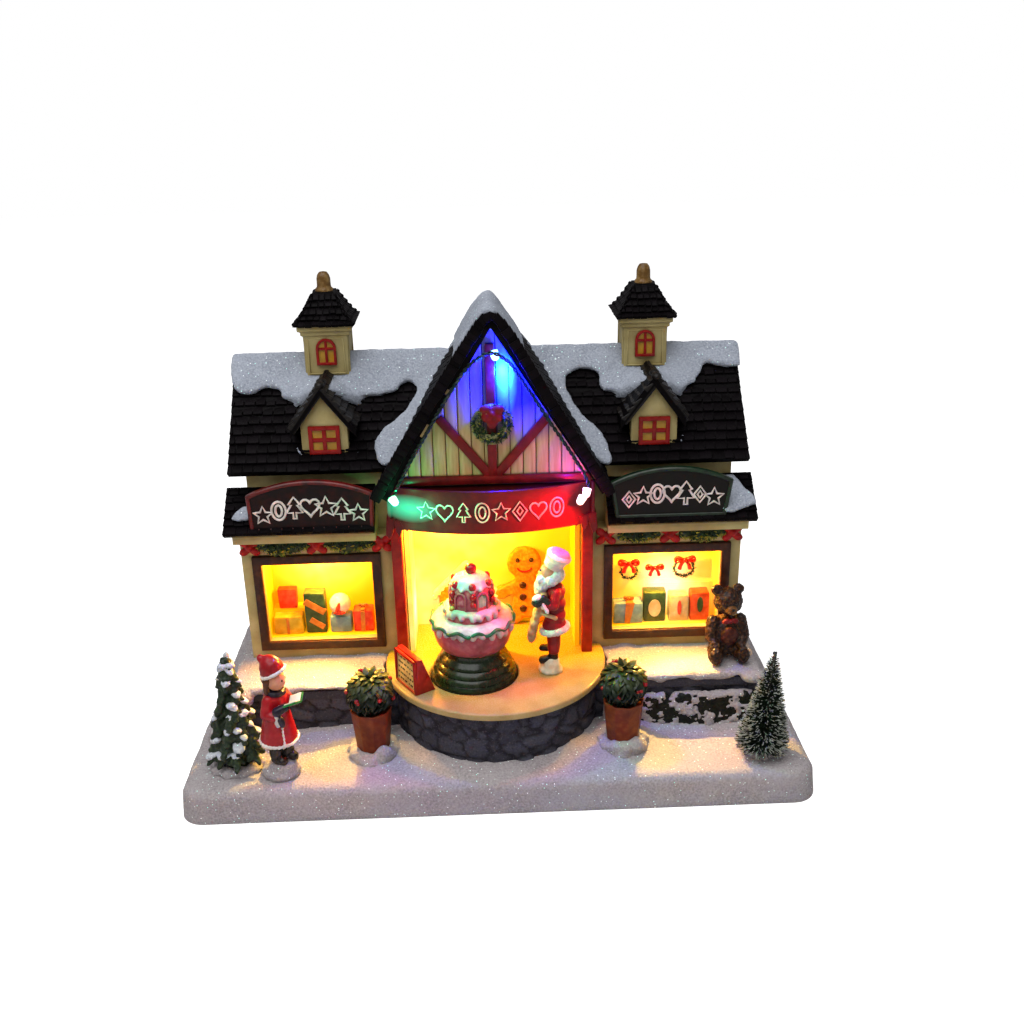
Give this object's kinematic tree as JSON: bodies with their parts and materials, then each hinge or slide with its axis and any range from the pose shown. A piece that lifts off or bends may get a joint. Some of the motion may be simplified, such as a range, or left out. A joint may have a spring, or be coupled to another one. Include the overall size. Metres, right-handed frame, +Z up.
{
  "type": "winter village shop row",
  "caption": "Battery-lit resin village shop row on a snowy base, with a gabled cake shop whose cake turns on a geared turntable, two side shops and small figures.",
  "frame": {"origin": "middle of the base's underside, on the table", "axes": "+X to the right along the shop row seen from the front, +Y away from the street towards the back wall, +Z up"},
  "size_m": [0.25, 0.151, 0.1942],
  "materials": {
    "snow": "sparkling",
    "stone": "satin",
    "cream_resin": "satin",
    "plank_cream": "satin",
    "shingle": "satin",
    "red_paint": "satin",
    "frame_brown": "satin",
    "warm_lining": "satin",
    "display_cream": "satin",
    "floor_plastic": "gloss",
    "stand_green": "gloss",
    "cake_pink": "satin",
    "icing": "gloss",
    "holly": "satin",
    "sign_black": "satin",
    "gold": "satin",
    "gingerbread": "satin",
    "figure_red": "satin",
    "bear_brown": "satin",
    "tree_green": "satin",
    "bristle": "matte",
    "clay": "satin",
    "wire": "matte",
    "lamp_blue": "clear",
    "lamp_warm": "clear",
    "cover_plastic": "textured",
    "screw_steel": "bright",
    "nickel": "bright",
    "switch_black": "moulded",
    "knob_white": "moulded",
    "board_green": "lacquered",
    "gear_nylon": "moulded",
    "motor_steel": "zinc plated"
  },
  "bodies": {
    "root": {"base_shell": "snow", "bottom_cover": "cover_plastic", "cover_screws": "screw_steel", "battery_contacts": "nickel", "slide_switch": "switch_black", "circuit_board": "board_green", "gear_motor": "motor_steel", "stone_terrace": "stone", "display_floor": "floor_plastic", "house_body": "cream_resin", "room_lining": "warm_lining", "display_box_left": "display_cream", "display_box_right": "display_cream", "window_frame_left": "frame_brown", "window_frame_right": "frame_brown", "garland_left": "holly", "garland_right": "holly", "post_left": "red_paint", "post_right": "red_paint", "banner": "red_paint", "gable_wall": "plank_cream", "gable_timbers": "red_paint", "gable_roof": "shingle", "gable_snow": "snow", "gable_wreath": "holly", "light_string": "wire", "string_lamps": "lamp_blue", "shop_lamps": "lamp_warm", "main_roof": "shingle", "roof_snow": "snow", "porch_roof_left": "shingle", "porch_roof_right": "shingle", "sign_left": "sign_black", "sign_right": "sign_black", "dormer_left": "cream_resin", "dormer_right": "cream_resin", "dormer_roof_left": "shingle", "dormer_roof_right": "shingle", "cupola_left": "cream_resin", "cupola_right": "cream_resin", "cupola_roof_left": "shingle", "cupola_roof_right": "shingle", "gingerbread_figure": "gingerbread", "gingerbread_house": "gingerbread", "chef": "figure_red", "carol_singer": "figure_red", "bear": "bear_brown", "snowy_tree": "tree_green", "bottle_brush_tree": "bristle", "potted_bush_left": "clay", "potted_bush_right": "clay", "menu_board": "red_paint", "hedge": "tree_green"},
    "turntable": {"turntable_gear": "gear_nylon", "cake_stand": "stand_green", "cake_body": "cake_pink", "cake_icing": "icing"},
    "pinion": {"motor_pinion": "gear_nylon"},
    "door": {"battery_door": "cover_plastic"},
    "knob": {"switch_knob": "knob_white"}
  },
  "joints": [
    {"name": "turntable_spin", "type": "hinge", "parent": "root", "child": "turntable", "pos_m": [-0.009, -0.0323, 0.0355], "axis": [0, 0, 1], "continuous": true},
    {"name": "pinion_spin", "type": "hinge", "parent": "root", "child": "pinion", "pos_m": [-0.009, -0.0131, 0.033], "axis": [0, 0, 1], "continuous": true},
    {"name": "door_swing", "type": "hinge", "parent": "root", "child": "door", "pos_m": [0.025, 0.02905, 0.0018], "axis": [1, 0, 0], "range_deg": [0, 95]},
    {"name": "switch_slide", "type": "slide", "parent": "root", "child": "knob", "axis": [1, 0, 0], "range_m": [0, 0.003]}
  ],
  "couplings": [
    {"joint": "pinion_spin", "follows": "turntable_spin", "ratio": -3}
  ]
}
